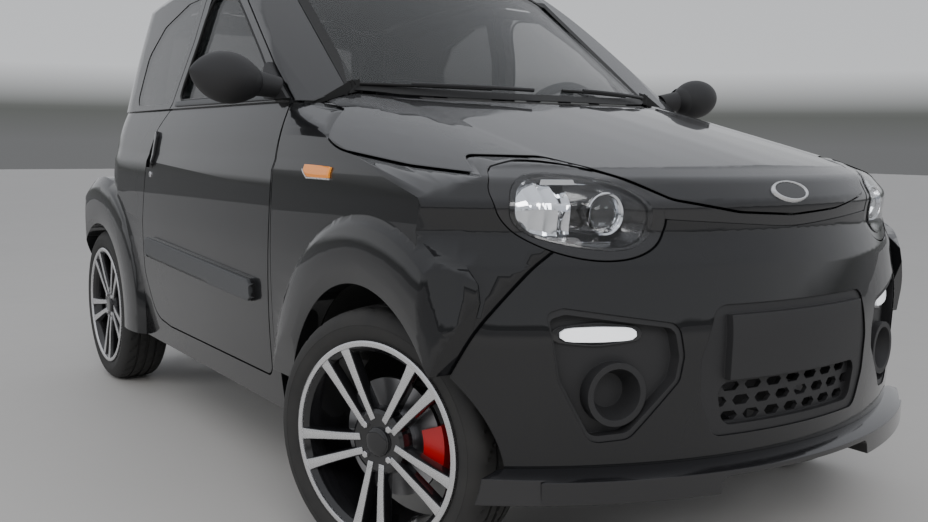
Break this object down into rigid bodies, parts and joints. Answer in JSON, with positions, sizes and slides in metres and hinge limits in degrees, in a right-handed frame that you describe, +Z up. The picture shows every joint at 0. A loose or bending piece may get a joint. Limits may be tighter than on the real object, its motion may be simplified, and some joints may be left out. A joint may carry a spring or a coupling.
{
  "type": "two-door microcar",
  "caption": "Small two-door hatchback microcar with opening doors, hood and tailgate, steered front wheels and a furnished cabin.",
  "frame": {"origin": "on the ground, under the middle of the car's length and width", "axes": "+Z up, +Y towards the rear, the car faces -Y, its right side is -X"},
  "size_m": [1.8062, 2.981, 1.54],
  "materials": {
    "paint": "gloss black paint",
    "underbody": "matt underbody coating",
    "chassis": "satin black frame paint",
    "engine": "rough casting",
    "trim": "grained black plastic",
    "satin_trim": "satin grey-black plastic",
    "lens": "clear polycarbonate",
    "lamp_bright": "bright reflector",
    "light_bar": "white diffuser",
    "amber": "amber lens",
    "glass": "clear window glass",
    "dark_glass": "tinted window glass",
    "red_lens": "red lens",
    "liner": "pressed felt and plastic",
    "dash": "grained dashboard plastic",
    "seat": "dark woven cloth",
    "caliper": "red brake paint",
    "disc": "turned steel",
    "rim": "machined faces over gloss black",
    "tyre": "black rubber",
    "chrome_trim": "bright badge ring",
    "mirror_face": "mirror glass"
  },
  "bodies": {
    "root": {"floor_pan": "underbody", "bulkhead": "underbody", "front_frame": "chassis", "engine_block": "engine", "side_right": "paint", "side_left": "paint", "roof_panel": "paint", "fender_right": "paint", "fender_left": "paint", "front_bumper": "paint", "nose_band": "trim", "splitter": "paint", "grille": "trim", "fog_pods": "trim", "headlamps": "lens", "windscreen": "glass", "quarter_glass": "dark_glass", "rear_bumper": "paint", "tail_lamps": "red_lens", "arch_liners": "liner", "rear_axle": "chassis", "dashboard": "dash", "seat_cushions": "seat", "seat_backs": "seat"},
    "hood": {"hood": "paint"},
    "door_right": {"door_right": "paint", "door_glass_right": "glass", "mirror_right": "trim"},
    "door_left": {"door_left": "paint", "door_glass_left": "glass", "mirror_left": "trim"},
    "tailgate": {"tailgate": "paint", "tailgate_glass": "dark_glass"},
    "steering_wheel": {"steering_wheel": "dash"},
    "knuckle_right": {"knuckle_right": "caliper"},
    "knuckle_left": {"knuckle_left": "caliper"},
    "wheel_front_right": {"rim_front_right": "rim", "tyre_front_right": "tyre", "disc_right": "disc"},
    "wheel_front_left": {"rim_front_left": "rim", "tyre_front_left": "tyre", "disc_left": "disc"},
    "wheel_rear_right": {"rim_rear_right": "rim", "tyre_rear_right": "tyre"},
    "wheel_rear_left": {"rim_rear_left": "rim", "tyre_rear_left": "tyre"}
  },
  "joints": [
    {"name": "hood_hinge", "type": "hinge", "parent": "root", "child": "hood", "pos_m": [0, -0.484, 1.01], "axis": [-1, 0, 0], "range_deg": [0, 50]},
    {"name": "door_right_hinge", "type": "hinge", "parent": "root", "child": "door_right", "pos_m": [-0.703, -0.384, 0.6], "axis": [0, 0, 1], "range_deg": [0, 62]},
    {"name": "door_left_hinge", "type": "hinge", "parent": "root", "child": "door_left", "pos_m": [0.703, -0.384, 0.6], "axis": [0, 0, -1], "range_deg": [0, 62]},
    {"name": "tailgate_hinge", "type": "hinge", "parent": "root", "child": "tailgate", "pos_m": [0, 1.32035, 1.428], "axis": [1, 0, 0], "range_deg": [0, 78]},
    {"name": "steer_right", "type": "hinge", "parent": "root", "child": "knuckle_right", "pos_m": [-0.6, -0.905, 0.285], "axis": [0, 0, 1], "range_deg": [-51.9, 12.1]},
    {"name": "steer_left", "type": "hinge", "parent": "root", "child": "knuckle_left", "pos_m": [0.6, -0.905, 0.285], "axis": [0, 0, 1], "range_deg": [-51.9, 12.1]},
    {"name": "steering_wheel_turn", "type": "hinge", "parent": "root", "child": "steering_wheel", "pos_m": [0.33, -0.236, 0.932], "axis": [0, 0.9135, 0.4067], "range_deg": [-727, 170]},
    {"name": "wheel_front_right_spin", "type": "hinge", "parent": "knuckle_right", "child": "wheel_front_right", "pos_m": [-0.64701, -0.92202, 0.285], "axis": [0.9403, 0.3404, 0], "continuous": true},
    {"name": "wheel_rear_right_spin", "type": "hinge", "parent": "root", "child": "wheel_rear_right", "pos_m": [-0.65, 1.15, 0.285], "axis": [1, 0, 0], "continuous": true},
    {"name": "wheel_front_left_spin", "type": "hinge", "parent": "knuckle_left", "child": "wheel_front_left", "pos_m": [0.64701, -0.88798, 0.285], "axis": [0.9403, 0.3404, 0], "continuous": true},
    {"name": "wheel_rear_left_spin", "type": "hinge", "parent": "root", "child": "wheel_rear_left", "pos_m": [0.65, 1.15, 0.285], "axis": [1, 0, 0], "continuous": true}
  ],
  "couplings": [
    {"joint": "steer_left", "follows": "steer_right", "ratio": 1},
    {"joint": "steering_wheel_turn", "follows": "steer_right", "ratio": 14}
  ]
}
